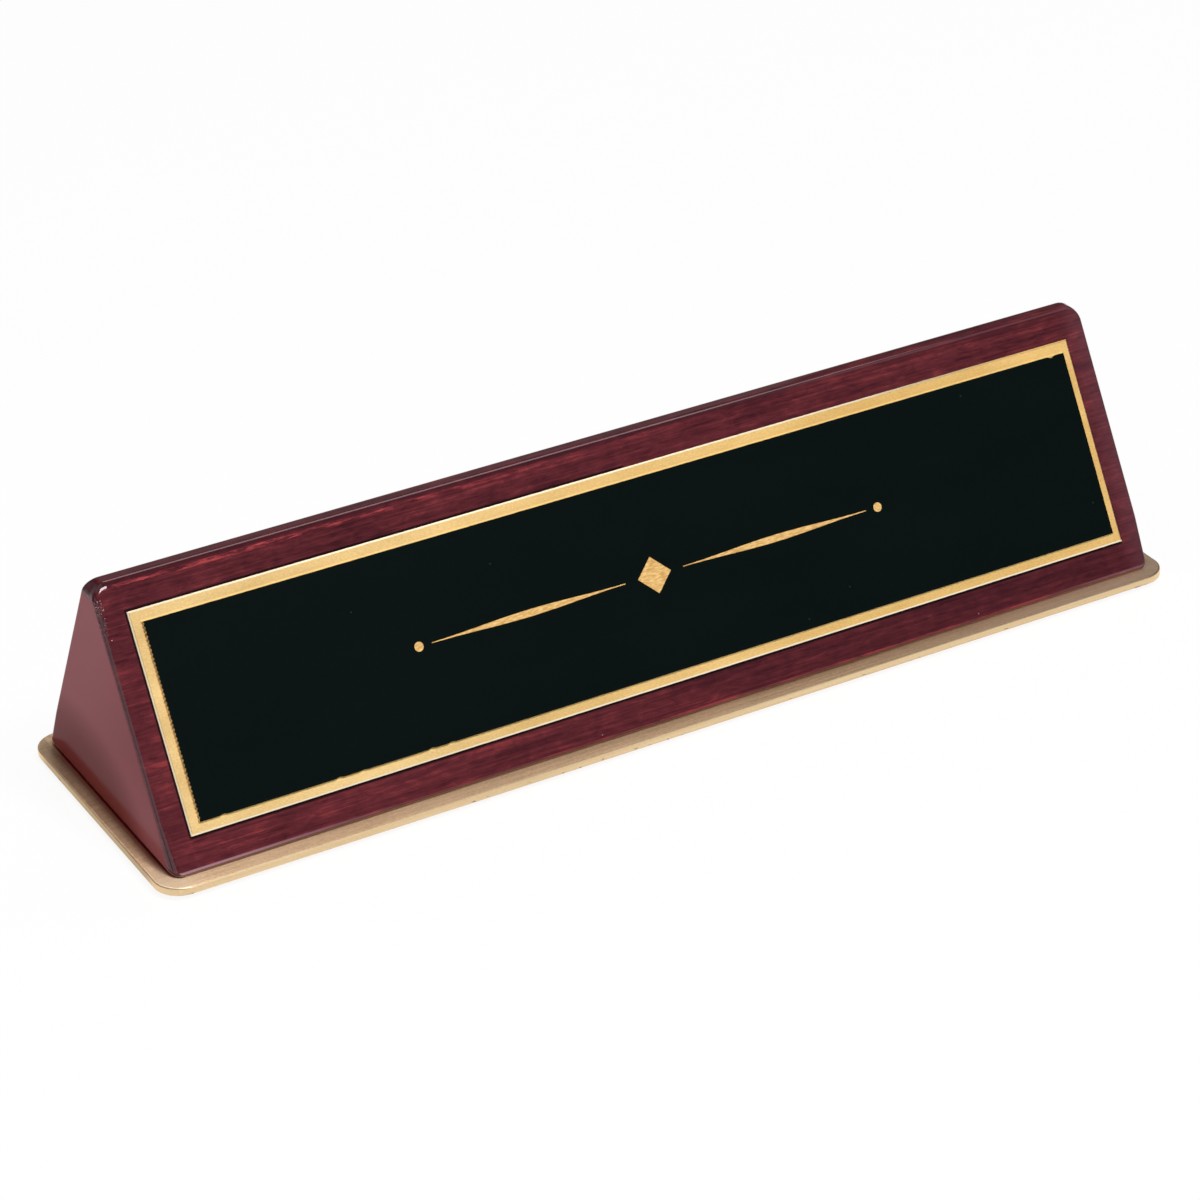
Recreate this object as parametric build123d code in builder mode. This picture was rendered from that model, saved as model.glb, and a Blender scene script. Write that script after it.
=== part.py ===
"""Desk name plate: a lacquered wooden wedge on a metal base plate, with two stacked plates on its sloping front.

Millimetres. +X runs along the wedge to the viewer's right, the sloping front faces -Y and +Z is up.
The origin is under the middle of the object, on the surface that the felt feet stand on.
"""

import math
import os

from build123d import *

os.makedirs("parts", exist_ok=True)

# Wooden wedge block
wedge_length = 260.4
wedge_depth = 70.6
wedge_height = 58.0
ridge_width = 4.4
wedge_corner_radius = 3.4
wedge_edge_radius = 1.7
wedge_foot_radius = 0.8

# Metal base plate, by how far it stands out past the block
base_side_overhang = 3.5
base_front_overhang = 2.9
base_thickness = 2.1
base_corner_radius = 6.4
base_edge_radius = 0.4

# Border plate on the front face, by its distances from that face's edges
border_plate_thickness = 0.65
plate_end_margin = 6.4
plate_foot_margin = 8.7
plate_ridge_margin = 7.3

# Name plate, by the widths of the border left round it
name_plate_thickness = 0.65
border_side = 2.4
border_top = 2.9
border_bottom = 2.5

# Broken edges round the outer faces of both plates
plate_edge_chamfer = 0.12

# Double-sided film under both plates
tape_thickness = 0.15
tape_inset = 2.0

# Countersunk wood screws through the base plate into the block
screw_length = 16.0
screw_shank_diameter = 2.9
screw_head_diameter = 5.5
screw_head_height = 1.3
screw_tip_length = 3.0
screw_tip_diameter = 0.6
screw_end_distance = 45.0
screw_clearance = 0.15
recess_span = 2.8
recess_arm_width = 0.7
recess_depth = 0.9

# Felt feet
foot_diameter = 14.0
foot_height = 1.5
foot_edge_radius = 0.3
foot_edge_inset = 4.0

# The most of the room at an edge that a fillet may take
fillet_share = 0.9

# Heights of the main levels
base_bottom = foot_height
wedge_bottom = base_bottom + base_thickness
ridge_height = wedge_bottom + wedge_height

# Outlines that follow from the sizes above
base_length = wedge_length + 2 * base_side_overhang
base_depth = wedge_depth + 2 * base_front_overhang
slope_run = (wedge_depth - ridge_width) / 2
slope_length = math.hypot(slope_run, wedge_height)
slope_angle = math.atan2(wedge_height, slope_run)

# Fillet radii, each kept within the faces beside it
ridge_room = ridge_width / 2 / math.tan(slope_angle / 2)
crease_radius = min(wedge_edge_radius, fillet_share * ridge_room, fillet_share * wedge_corner_radius)
foot_crease_radius = min(wedge_foot_radius, fillet_share * crease_radius)
base_rim_radius = min(base_edge_radius, fillet_share * base_thickness / 2)
tread_radius = min(foot_edge_radius, fillet_share * foot_height)

# The front face's plane: its own X runs along the block and its own Y up the slope from the lower edge
front_face = Plane(
    origin=(0, -wedge_depth / 2, wedge_bottom),
    x_dir=(1, 0, 0),
    z_dir=(0, -wedge_height, slope_run),
)
outward = Axis(front_face.origin, front_face.z_dir)

# Plates on the front face, in that plane's own X and Y
border_plate_length = wedge_length - 2 * plate_end_margin
border_plate_height = slope_length - plate_foot_margin - plate_ridge_margin
border_plate_rise = plate_foot_margin + border_plate_height / 2
name_plate_length = border_plate_length - 2 * border_side
name_plate_height = border_plate_height - border_top - border_bottom
name_plate_rise = plate_foot_margin + border_bottom + name_plate_height / 2

# Levels of the stack on the front face, measured out from the wood
border_plate_level = tape_thickness
name_plate_tape_level = border_plate_level + border_plate_thickness
name_plate_level = name_plate_tape_level + tape_thickness

# Screw places, along the middle of the base
screw_x = wedge_length / 2 - screw_end_distance
screw_places = [(-screw_x, 0), (screw_x, 0)]


def screw_outline(clearance: float) -> list:
    """Half of a screw's outline, as (radius, height) points from the flush head to the tip.

    A clearance stands the outline off all round, for the hole that takes the screw.
    """
    head_radius = screw_head_diameter / 2 + clearance
    shank_radius = screw_shank_diameter / 2 + clearance
    tip_radius = screw_tip_diameter / 2 + clearance
    tip_height = screw_length + clearance
    return [
        (0, 0),
        (head_radius, 0),
        (shank_radius, screw_head_height),
        (shank_radius, tip_height - screw_tip_length),
        (tip_radius, tip_height),
        (0, tip_height),
    ]


def build_turned_screws(clearance: float) -> BuildPart:
    """Builds the plain turned form of every screw, standing point up in the base."""
    with BuildPart() as turned:
        for x, y in screw_places:
            with BuildSketch(Plane(origin=(x, y, base_bottom), x_dir=(1, 0, 0), z_dir=(0, -1, 0))):
                with BuildLine():
                    Polyline(*screw_outline(clearance), close=True)
                make_face()
            revolve(axis=Axis((x, y, base_bottom), (0, 0, 1)))
    return turned


def build_sheet(
    length: float, height: float, rise: float, level: float, thickness: float, rim_chamfer: float = 0
) -> BuildPart:
    """Builds a flat sheet on the front face, at a rise up the slope and a level above the wood.

    A rim chamfer breaks the edges round the sheet's outer face.
    """
    with BuildPart() as sheet:
        with BuildSketch(front_face.offset(level)):
            with Locations((0, rise)):
                Rectangle(length, height)
        extrude(amount=thickness)
        if rim_chamfer:
            chamfer(sheet.faces().sort_by(outward)[-1].edges(), length=rim_chamfer)
    return sheet


# The holes that the screws sit in, cut from the block and the base plate alike
screw_holes = build_turned_screws(screw_clearance)

# Wedge block, with its section drawn across the length
with BuildPart() as wedge_block:
    with BuildSketch(Plane.YZ.offset(-wedge_length / 2)):
        with BuildLine():
            Polyline(
                (-wedge_depth / 2, wedge_bottom),
                (wedge_depth / 2, wedge_bottom),
                (ridge_width / 2, ridge_height),
                (-ridge_width / 2, ridge_height),
                close=True,
            )
        make_face()
    extrude(amount=wedge_length)
    # The top corners are rounded as seen from the front, then the creases above the foot and those round it are eased
    ridge_ends = wedge_block.edges().filter_by(Axis.Y).group_by(Axis.Z)[-1]
    fillet(ridge_ends, radius=wedge_corner_radius)
    creases_by_height = wedge_block.edges().filter_by(Axis.Y, reverse=True).group_by(Axis.Z)
    fillet([crease for level in creases_by_height[1:] for crease in level], radius=crease_radius)
    foot_rim = wedge_block.faces().sort_by(Axis.Z)[0].edges()
    fillet(foot_rim, radius=foot_crease_radius)
    add(screw_holes.part, mode=Mode.SUBTRACT)
wedge_block.part.label = "wedge_block"
export_step(wedge_block.part, "parts/wedge_block.step")

# Base plate
with BuildPart() as base_plate:
    with BuildSketch(Plane.XY.offset(base_bottom)):
        RectangleRounded(base_length, base_depth, base_corner_radius)
    extrude(amount=base_thickness)
    rims = base_plate.faces().filter_by(Axis.Z).edges()
    fillet(rims, radius=base_rim_radius)
    add(screw_holes.part, mode=Mode.SUBTRACT)
base_plate.part.label = "base_plate"
export_step(base_plate.part, "parts/base_plate.step")

# Film between the wood and the border plate
border_plate_tape = build_sheet(
    length=border_plate_length - 2 * tape_inset,
    height=border_plate_height - 2 * tape_inset,
    rise=border_plate_rise,
    level=0,
    thickness=tape_thickness,
)
border_plate_tape.part.label = "border_plate_tape"
export_step(border_plate_tape.part, "parts/border_plate_tape.step")

# Border plate
border_plate = build_sheet(
    length=border_plate_length,
    height=border_plate_height,
    rise=border_plate_rise,
    level=border_plate_level,
    thickness=border_plate_thickness,
    rim_chamfer=min(plate_edge_chamfer, fillet_share * border_plate_thickness),
)
border_plate.part.label = "border_plate"
export_step(border_plate.part, "parts/border_plate.step")

# Film between the two plates
name_plate_tape = build_sheet(
    length=name_plate_length - 2 * tape_inset,
    height=name_plate_height - 2 * tape_inset,
    rise=name_plate_rise,
    level=name_plate_tape_level,
    thickness=tape_thickness,
)
name_plate_tape.part.label = "name_plate_tape"
export_step(name_plate_tape.part, "parts/name_plate_tape.step")

# Name plate
name_plate = build_sheet(
    length=name_plate_length,
    height=name_plate_height,
    rise=name_plate_rise,
    level=name_plate_level,
    thickness=name_plate_thickness,
    rim_chamfer=min(plate_edge_chamfer, fillet_share * name_plate_thickness),
)
name_plate.part.label = "name_plate"
export_step(name_plate.part, "parts/name_plate.step")

# Screws, turned and then cut with a cross recess in each head
turned_screws = build_turned_screws(clearance=0)
with BuildPart() as base_screws:
    add(turned_screws.part)
    with BuildSketch(Plane.XY.offset(base_bottom)):
        with Locations(*screw_places):
            Rectangle(recess_span, recess_arm_width)
            Rectangle(recess_arm_width, recess_span)
    extrude(amount=recess_depth, mode=Mode.SUBTRACT)
base_screws.part.label = "base_screws"
export_step(base_screws.part, "parts/base_screws.step")

# Felt feet, one under each corner of the base plate
foot_x = base_length / 2 - foot_edge_inset - foot_diameter / 2
foot_y = base_depth / 2 - foot_edge_inset - foot_diameter / 2
foot_places = {
    "foot_front_left": (-foot_x, -foot_y),
    "foot_front_right": (foot_x, -foot_y),
    "foot_rear_left": (-foot_x, foot_y),
    "foot_rear_right": (foot_x, foot_y),
}
for foot_name, place in foot_places.items():
    with BuildPart() as foot:
        with BuildSketch():
            with Locations(place):
                Circle(foot_diameter / 2)
        extrude(amount=foot_height)
        tread_rim = foot.edges().group_by(Axis.Z)[0]
        fillet(tread_rim, radius=tread_radius)
    foot.part.label = foot_name
    export_step(foot.part, f"parts/{foot_name}.step")
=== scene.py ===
"""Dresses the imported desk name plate: glossy red wood, brushed gold, satin brass and a black coated plate.

Metres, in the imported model's own frame: +X runs along the block, the sloping front faces -Y and +Z is up.
Fields that hold sizes are in metres. Finishes measure their patterns in millimetres, on object coordinates.
"""

import logging
import math
import random
from collections.abc import Sequence
from dataclasses import dataclass
from enum import Enum, IntEnum

import bpy
from mathutils import Matrix, Vector
from mathutils.geometry import delaunay_2d_cdt


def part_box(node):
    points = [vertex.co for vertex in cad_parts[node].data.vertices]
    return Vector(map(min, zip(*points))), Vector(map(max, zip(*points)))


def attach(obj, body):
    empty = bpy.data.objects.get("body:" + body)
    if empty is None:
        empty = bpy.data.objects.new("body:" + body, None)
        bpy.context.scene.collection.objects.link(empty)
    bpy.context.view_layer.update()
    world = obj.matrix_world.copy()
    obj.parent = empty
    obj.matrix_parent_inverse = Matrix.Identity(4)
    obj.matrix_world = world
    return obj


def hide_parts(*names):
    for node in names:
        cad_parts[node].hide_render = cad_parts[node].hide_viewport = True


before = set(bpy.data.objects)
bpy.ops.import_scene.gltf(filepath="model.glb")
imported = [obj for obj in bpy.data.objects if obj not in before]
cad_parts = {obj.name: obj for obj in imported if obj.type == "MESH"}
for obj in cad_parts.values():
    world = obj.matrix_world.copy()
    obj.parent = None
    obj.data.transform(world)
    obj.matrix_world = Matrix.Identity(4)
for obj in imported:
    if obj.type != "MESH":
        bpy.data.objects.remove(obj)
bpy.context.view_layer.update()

LOG = logging.getLogger("desk_name_plate")
MM = 0.001
BODY = "root"

Colour = tuple[float, float, float, float]
Corner = tuple[Vector, Vector]
Number = "Wire | float"

UP = Vector((0, 0, 1))
DOWN = Vector((0, 0, -1))


class Slot(Enum):
    """The names of the record's material slots for the pieces."""

    WOOD = "lacquered_rosewood"
    BASE = "gold_base_metal"
    BORDER = "satin_brass"
    PLATE = "black_coated_brass"
    SCREW = "screw_steel"
    FOOT = "foot_felt"


class Side(IntEnum):
    """The sides of a sheet, in the order that its rim runs, seen from the front."""

    LOWER = 0
    RIGHT = 1
    UPPER = 2
    LEFT = 3


def srgb(red: int, green: int, blue: int) -> Colour:
    """Turns a screen colour into the linear values that a node takes.

    Args:
        red: Red, from 0 to 255.
        green: Green, from 0 to 255.
        blue: Blue, from 0 to 255.

    Returns:
        The linear colour, with full alpha.
    """
    linear = []
    for value in (red, green, blue):
        share = value / 255
        linear.append(share / 12.92 if share <= 0.04045 else ((share + 0.055) / 1.055) ** 2.4)
    return (*linear, 1.0)


# Node trees


class Wire:
    """An output socket that Python expressions can use: each operator adds a Math node."""

    def __init__(self, graph: "Graph", socket: bpy.types.NodeSocket) -> None:
        """Keeps the socket and the graph that it is in."""
        self.graph = graph
        self.socket = socket

    def __add__(self, other: Number) -> "Wire":
        """Returns self + other."""
        return self.graph.math("ADD", self, other)

    def __radd__(self, other: Number) -> "Wire":
        """Returns other + self."""
        return self.graph.math("ADD", other, self)

    def __sub__(self, other: Number) -> "Wire":
        """Returns self - other."""
        return self.graph.math("SUBTRACT", self, other)

    def __rsub__(self, other: Number) -> "Wire":
        """Returns other - self."""
        return self.graph.math("SUBTRACT", other, self)

    def __mul__(self, other: Number) -> "Wire":
        """Returns self * other."""
        return self.graph.math("MULTIPLY", self, other)

    def __rmul__(self, other: Number) -> "Wire":
        """Returns other * self."""
        return self.graph.math("MULTIPLY", other, self)

    def __truediv__(self, other: Number) -> "Wire":
        """Returns self / other."""
        return self.graph.math("DIVIDE", self, other)

    def __rtruediv__(self, other: Number) -> "Wire":
        """Returns other / self."""
        return self.graph.math("DIVIDE", other, self)

    def __pow__(self, other: Number) -> "Wire":
        """Returns self to the power of other."""
        return self.graph.math("POWER", self, other)

    def __abs__(self) -> "Wire":
        """Returns the size of self, without its sign."""
        return self.graph.math("ABSOLUTE", self)

    def at_least(self, other: Number) -> "Wire":
        """Returns the larger of self and other."""
        return self.graph.math("MAXIMUM", self, other)

    def at_most(self, other: Number) -> "Wire":
        """Returns the smaller of self and other."""
        return self.graph.math("MINIMUM", self, other)

    def fade(self, start: float, end: float) -> "Wire":
        """Returns a smooth step that is 0 where self is start and 1 where it is end."""
        settings = {"interpolation_type": "SMOOTHSTEP"}
        sockets = {"Value": self, "From Min": start, "From Max": end}
        return self.graph.node("ShaderNodeMapRange", settings, sockets)

    def band(self, start: float, risen: float, falling: float, end: float) -> "Wire":
        """Returns 1 from risen to falling, and 0 below start and above end."""
        return self.fade(start, risen) * self.fade(end, falling)

    def beside(self, name: str) -> "Wire":
        """Returns another output of the same node, by its name."""
        return Wire(self.graph, self.graph.pick(self.socket.node.outputs, name))


class Graph:
    """A node tree that is written one node at a time."""

    def __init__(self, tree: bpy.types.NodeTree) -> None:
        """Keeps the tree that nodes are added to."""
        self.tree = tree

    @staticmethod
    def pick(sockets: bpy.types.bpy_prop_collection, key: str | int) -> bpy.types.NodeSocket:
        """Finds a socket of a node.

        Args:
            sockets: The node's inputs or outputs.
            key: The socket's place, identifier or name.

        Returns:
            The first socket that fits.
        """
        if isinstance(key, int):
            return sockets[key]
        for socket in sockets:
            if socket.identifier == key:
                return socket
        return next(socket for socket in sockets if socket.name == key and socket.enabled)

    def node(
        self,
        kind: str,
        settings: dict | None = None,
        sockets: dict | None = None,
        output: str | int = 0,
    ) -> Wire | None:
        """Adds a node.

        Args:
            kind: The node's type.
            settings: Its own settings, which are set first. The key stops fills a colour ramp.
            sockets: A value, a wire or a list of wires for each input that isn't left at its default.
            output: The output to hand back.

        Returns:
            That output, or None for a node that has none.
        """
        made = self.tree.nodes.new(kind)
        for name, value in (settings or {}).items():
            if name == "stops":
                self.fill_ramp(made.color_ramp, value)
            else:
                setattr(made, name, value)
        for key, value in (sockets or {}).items():
            socket = self.pick(made.inputs, key)
            if isinstance(value, (Wire, list)):
                for wire in value if isinstance(value, list) else [value]:
                    self.tree.links.new(wire.socket, socket)
            else:
                socket.default_value = value
        return Wire(self, self.pick(made.outputs, output)) if made.outputs else None

    @staticmethod
    def fill_ramp(ramp: bpy.types.ColorRamp, stops: Sequence[tuple[float, Colour]]) -> None:
        """Sets a colour ramp's stops.

        Args:
            ramp: The ramp of a new node, which has two stops.
            stops: The place and the colour of each stop, two or more in all.
        """
        while len(ramp.elements) < len(stops):
            ramp.elements.new(1.0)
        for element, (place, colour) in zip(ramp.elements, stops):
            element.position = place
            element.color = colour

    def math(self, operation: str, *operands: Number) -> Wire:
        """Adds a Math node for the operation on its operands, and returns its value."""
        return self.node("ShaderNodeMath", {"operation": operation}, dict(enumerate(operands)))

    def vector(self, operation: str, sockets: dict, output: str = "Vector") -> Wire:
        """Adds a Vector Math node for the operation, and returns the named output."""
        return self.node("ShaderNodeVectorMath", {"operation": operation}, sockets, output)

    def axes(self, vector: Wire) -> tuple[Wire, Wire, Wire]:
        """Returns a vector's X, Y and Z."""
        x = self.node("ShaderNodeSeparateXYZ", sockets={"Vector": vector}, output="X")
        return x, x.beside("Y"), x.beside("Z")

    def join(self, x: Number, y: Number, z: Number) -> Wire:
        """Returns the vector that has this X, Y and Z."""
        return self.node("ShaderNodeCombineXYZ", sockets={"X": x, "Y": y, "Z": z})


@dataclass(frozen=True)
class Coat:
    """A colour that lies over others where its mask is 1, and how much of them it hides there."""

    mask: Wire
    cover: float
    tint: Colour


class ShaderGraph(Graph):
    """A material's node tree, with the few steps that every finish takes."""

    def __init__(self, name: str) -> None:
        """Starts an empty material of that name."""
        self.material = bpy.data.materials.new(name)
        self.material.use_nodes = True
        self.material.node_tree.nodes.clear()
        super().__init__(self.material.node_tree)

    def place(self) -> Wire:
        """Returns the object coordinates, in millimetres."""
        metres = self.node("ShaderNodeTexCoord", output="Object")
        return self.vector("SCALE", {"Vector": metres, "Scale": 1 / MM})

    def along(self, place: Wire, direction: Vector) -> Wire:
        """Returns how far a place lies along a direction."""
        return self.vector("DOT_PRODUCT", {0: place, 1: tuple(direction)}, "Value")

    def noise(
        self,
        place: Wire,
        grain: tuple[float, float, float],
        detail: float = 2.0,
        roughness: float = 0.5,
        distortion: float = 0.0,
    ) -> Wire:
        """Adds a noise whose features have a given size.

        Args:
            place: Where the noise is read, in millimetres.
            grain: The size of its features along X, Y and Z, in millimetres.
            detail: How many finer layers it has.
            roughness: How strong those layers are.
            distortion: How far it is bent by itself.

        Returns:
            The noise, from 0 to 1 and mostly near 0.5.
        """
        sizes = tuple(1 / size for size in grain)
        spread = self.node("ShaderNodeMapping", sockets={"Vector": place, "Scale": sizes})
        layers = {"Detail": detail, "Roughness": roughness, "Distortion": distortion}
        return self.node("ShaderNodeTexNoise", sockets={"Vector": spread, "Scale": 1.0, **layers})

    def specks(self, place: Wire, spacing: float, radius: float) -> Wire:
        """Returns 1 inside small round specks and 0 between them.

        Args:
            place: Where the specks are read, in millimetres.
            spacing: Their mean distance from each other, in millimetres.
            radius: The largest radius that one shows, in millimetres.

        Returns:
            The mask, with soft rims.
        """
        cells = {"Vector": place, "Scale": 1 / spacing}
        distance = self.node("ShaderNodeTexVoronoi", sockets=cells, output="Distance")
        return (distance * spacing).fade(radius, 0.5 * radius)

    def ramp(self, value: Wire, stops: Sequence[tuple[float, Colour]]) -> Wire:
        """Returns the colour that a value has among the stops of a ramp."""
        return self.node("ShaderNodeValToRGB", {"stops": stops}, {"Fac": value})

    def mix(self, factor: Number, first: "Wire | Colour", second: "Wire | Colour") -> Wire:
        """Returns the first colour where the factor is 0 and the second where it is 1."""
        sockets = {"Factor_Float": factor, "A_Color": first, "B_Color": second}
        return self.node("ShaderNodeMix", {"data_type": "RGBA"}, sockets, "Result_Color")

    def layers(self, colour: Wire, coats: Sequence[Coat]) -> Wire:
        """Lays coats over a colour.

        Args:
            colour: The colour under them.
            coats: The coats, the lowest one first.

        Returns:
            The colour that shows.
        """
        for coat in coats:
            colour = self.mix(coat.mask * coat.cover, colour, coat.tint)
        return colour

    def bump(self, height: Wire, depth: float) -> Wire:
        """Returns the normal of a surface that a height of 1 lifts by a depth in millimetres."""
        return self.node("ShaderNodeBump", sockets={"Height": height, "Distance": depth * MM})

    def principled(self, sockets: dict) -> Wire:
        """Adds a Principled shader that has the given sockets, and returns its output."""
        return self.node("ShaderNodeBsdfPrincipled", sockets=sockets)

    def blend(self, factor: Number, first: Wire, second: Wire) -> Wire:
        """Returns the first shader where the factor is 0 and the second where it is 1."""
        return self.node("ShaderNodeMixShader", sockets={0: factor, 1: first, 2: second})

    def close(self, shader: Wire) -> bpy.types.Material:
        """Makes a shader the material's surface, and returns the material."""
        self.node("ShaderNodeOutputMaterial", sockets={"Surface": shader})
        return self.material

    def finish(self, sockets: dict) -> bpy.types.Material:
        """Closes the material with a Principled shader that has the given sockets, and returns it."""
        return self.close(self.principled(sockets))


# Finishes


@dataclass(frozen=True)
class BlockSurvey:
    """Where a point of the block lies, in millimetres, and masks of the block's parts."""

    graph: ShaderGraph
    place: Wire
    x: Wire
    y: Wire
    z: Wire
    under_slope: Wire
    under_end: Wire
    front: Wire
    end: Wire
    eased: Wire


@dataclass(frozen=True)
class LacqueredRosewood:
    """Dark red wood under a thick clear gloss, with its grain along the block and plain stained ends.

    The stain is dark on the eased creases. Along the crest of the front lie a painted highlight streak and
    painted dark and light reflection lines, with a painted sheen to the right of the plates. Along its foot
    lie painted reflections, partly broken by wear, and painted reflected light under the ends. A painted
    shadow lies along the left and lower edges of the plates, and the ends carry painted reflections and a
    painted reflected shadow. The lacquer has blistered at the top of the left front crease.
    """

    half_length: float
    slope_angle: float
    slope_level: float
    ridge_height: float
    crest_height: float
    foot_height: float
    toe_height: float
    plate_half_length: float
    plate_low: float
    plate_high: float
    pith_y: float = 170.0
    pith_z: float = -190.0
    ring_width: float = 4.5
    gloss: float = 0.03
    lacquer_index: float = 1.5
    stain_index: float = 1.07

    def survey(self, graph: ShaderGraph) -> BlockSurvey:
        """Finds where a point of the block lies.

        Args:
            graph: The material's graph.

        Returns:
            Its coordinates, its depths under the slopes and the ends, and the masks.
        """
        place = graph.place()
        x, y, z = graph.axes(place)
        lean = abs(y) * math.sin(self.slope_angle) + z * math.cos(self.slope_angle)
        under_slope = self.slope_level - lean
        under_end = self.half_length - abs(x)
        front = y.fade(0.0, -0.5)
        end = under_end.fade(0.12, 0.02)
        on_ridge = z.fade(self.ridge_height - 0.3, self.ridge_height - 0.1)
        on_foot = z.fade(self.foot_height + 2.4, self.foot_height + 0.4)
        eased = under_slope.at_most(under_end).fade(0.03, 0.3) * (1 - on_ridge * 0.8) * (1 - on_foot)
        return BlockSurvey(graph, place, x, y, z, under_slope, under_end, front, end, eased)

    def figure(self, at: BlockSurvey) -> Wire:
        """Adds the wood's figure: rings round a pith outside the block, streaks, fibres and pores.

        Args:
            at: The survey of the block.

        Returns:
            The colour.
        """
        graph = at.graph
        place = at.place
        drift = graph.noise(place, (120, 26, 26), detail=2) - 0.5
        wobble = graph.noise(place, (30, 9, 9), detail=1) - 0.5
        reach_y = at.y - self.pith_y
        reach_z = at.z - self.pith_z
        reach = (reach_y * reach_y + reach_z * reach_z) ** 0.5 + drift * 22 + wobble * 3
        rings = graph.node(
            "ShaderNodeTexNoise",
            {"noise_dimensions": "1D"},
            {"W": reach / self.ring_width, "Scale": 1.0, "Detail": 4.0, "Roughness": 0.6},
        )
        mottle = graph.noise(place, (5, 1.8, 1.8), detail=3, roughness=0.6, distortion=0.8)
        streaks = graph.noise(place, (28, 0.65, 0.65), detail=3, roughness=0.6)
        fibres = graph.noise(place, (3, 0.25, 0.25), detail=2)
        ribbon = graph.noise(place, (6, 14, 14), detail=3, distortion=0.6)
        tone = rings * 0.2 + mottle * 0.25 + streaks * 0.31 + fibres * 0.12 + ribbon * 0.12
        stops = [
            (0.37, srgb(53, 19, 26)),
            (0.46, srgb(78, 30, 37)),
            (0.54, srgb(95, 39, 45)),
            (0.64, srgb(138, 54, 57)),
        ]
        pores = graph.noise(place, (3, 0.2, 0.2), detail=1).fade(0.64, 0.74)
        return graph.layers(graph.ramp(tone, stops), [Coat(pores, 0.35, srgb(40, 12, 18))])

    def crest(self, at: BlockSurvey) -> list[Coat]:
        """Works out the painted light at the top and the right of the front.

        Args:
            at: The survey of the block.

        Returns:
            A bright red streak on the left of the crest, a painted highlight; a dark line, a painted
            reflection, and a light line, a painted highlight, on its right; and a paler mauve tone to the
            right of the plates, a painted sheen.
        """
        risen = at.z.fade(self.crest_height - 0.4, self.crest_height) * at.front
        left = risen * at.x.fade(60.0, -120.0)
        right = risen * at.x.fade(10.0, 90.0)
        streak_patches = at.graph.noise(at.place, (7, 0.9, 0.9), detail=4, roughness=0.75).fade(0.45, 0.66)
        right_strip = at.x.fade(self.plate_half_length - 2, self.half_length) * at.front
        # Painted light: a red highlight streak, a dark reflection line, a highlight line and a mauve sheen
        return [
            Coat(left * streak_patches * at.under_slope.fade(0.16, 0.05), 0.75, srgb(196, 78, 82)),
            Coat(right * at.under_slope.fade(0.26, 0.14), 0.4, srgb(48, 17, 23)),
            Coat(right * at.under_slope.band(0.2, 0.36, 0.44, 0.62), 0.24, srgb(150, 100, 110)),
            Coat(right_strip, 0.2, srgb(119, 80, 92)),
        ]

    def toe(self, at: BlockSurvey) -> list[Coat]:
        """Works out the painted light and the wear along the foot.

        Args:
            at: The survey of the block.

        Returns:
            Brighter red patches along the front, a painted highlight; a pale line, a painted reflection that
            is broken by wear on the right; the base's gold in the front's rounding, a painted reflection; and
            red under the ends, painted light reflected into their shade.
        """
        foot = self.foot_height
        line = at.z.fade(self.toe_height + 0.15, self.toe_height - 0.15) * at.front
        line = line * at.under_slope.fade(0.24, 0.1)
        patchy = at.graph.noise(at.place, (16, 3, 3), detail=4, roughness=0.7).fade(0.46, 0.6)
        red = at.x.fade(-90.0, 0.0) * (0.1 + patchy * 0.6)
        worn_highlight = at.x.fade(-70.0, -128.0).at_least(at.x.fade(96.0, 124.0) * (0.25 + patchy * 0.75))
        base_reflection = at.z.fade(foot + 1.1, foot + 0.2) * at.front * at.under_end.fade(1.0, 4.0)
        sole = at.z.fade(foot + 1.8, foot + 0.6) * at.under_end.fade(2.2, 1.8)
        # Painted light: the red patches are a highlight, the pale line a reflection broken by wear, the gold
        # in the rounding a reflection of the base, and the red under the ends light reflected into their
        # shade
        return [
            Coat(line * red, 1.0, srgb(144, 48, 57)),
            Coat(line * worn_highlight, 0.8, srgb(168, 130, 142)),
            Coat(base_reflection, 0.9, srgb(168, 128, 108)),
            Coat(sole * at.under_slope.fade(1.0, 3.0), 0.8, srgb(170, 46, 60)),
        ]

    def plate_shadow(self, at: BlockSurvey) -> Coat:
        """Works out the painted shadow beside the plates.

        Args:
            at: The survey of the block.

        Returns:
            A dark line along their left and lower edges, a painted shadow.
        """
        half = self.plate_half_length
        low = self.plate_low
        high = self.plate_high
        # Painted shadow: a dark line along the plates' left and lower edges
        beside = at.z.band(low - 0.3, low, high, high + 0.3) * at.x.band(-0.5 - half, -0.2 - half, 0.0, 1.0)
        below = at.z.band(low - 0.8, low - 0.45, low, low + 0.5) * abs(at.x).fade(half + 0.4, half)
        return Coat(beside.at_least(below) * at.front, 0.9, srgb(22, 8, 12))

    def long_faces(self, at: BlockSurvey) -> Wire:
        """Works out the colour of all but the ends.

        Args:
            at: The survey of the block.

        Returns:
            The figure, darker on the creases and low on the right, under the painted light and the marks of
            wear.
        """
        shade = at.z.fade(self.foot_height + 16, self.foot_height + 6) * at.x.fade(-120.0, 110.0)
        dark = (at.eased * 0.6).at_least(shade * 0.34)
        marks = [Coat(dark, 1.0, srgb(44, 15, 23)), *self.crest(at), *self.toe(at), self.plate_shadow(at)]
        return at.graph.layers(self.figure(at), marks)

    def end_stain_and_reflection(self, at: BlockSurvey) -> Wire:
        """Works out the colour of the ends.

        Args:
            at: The survey of the block.

        Returns:
            The plain stain under a painted mauve reflection towards the rear, the top and the lower front,
            and a painted reflected shadow, deep red, low down towards the rear.
        """
        graph = at.graph
        foot = self.foot_height
        cloud = graph.noise(at.place, (14, 14, 14), detail=2)
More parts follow.
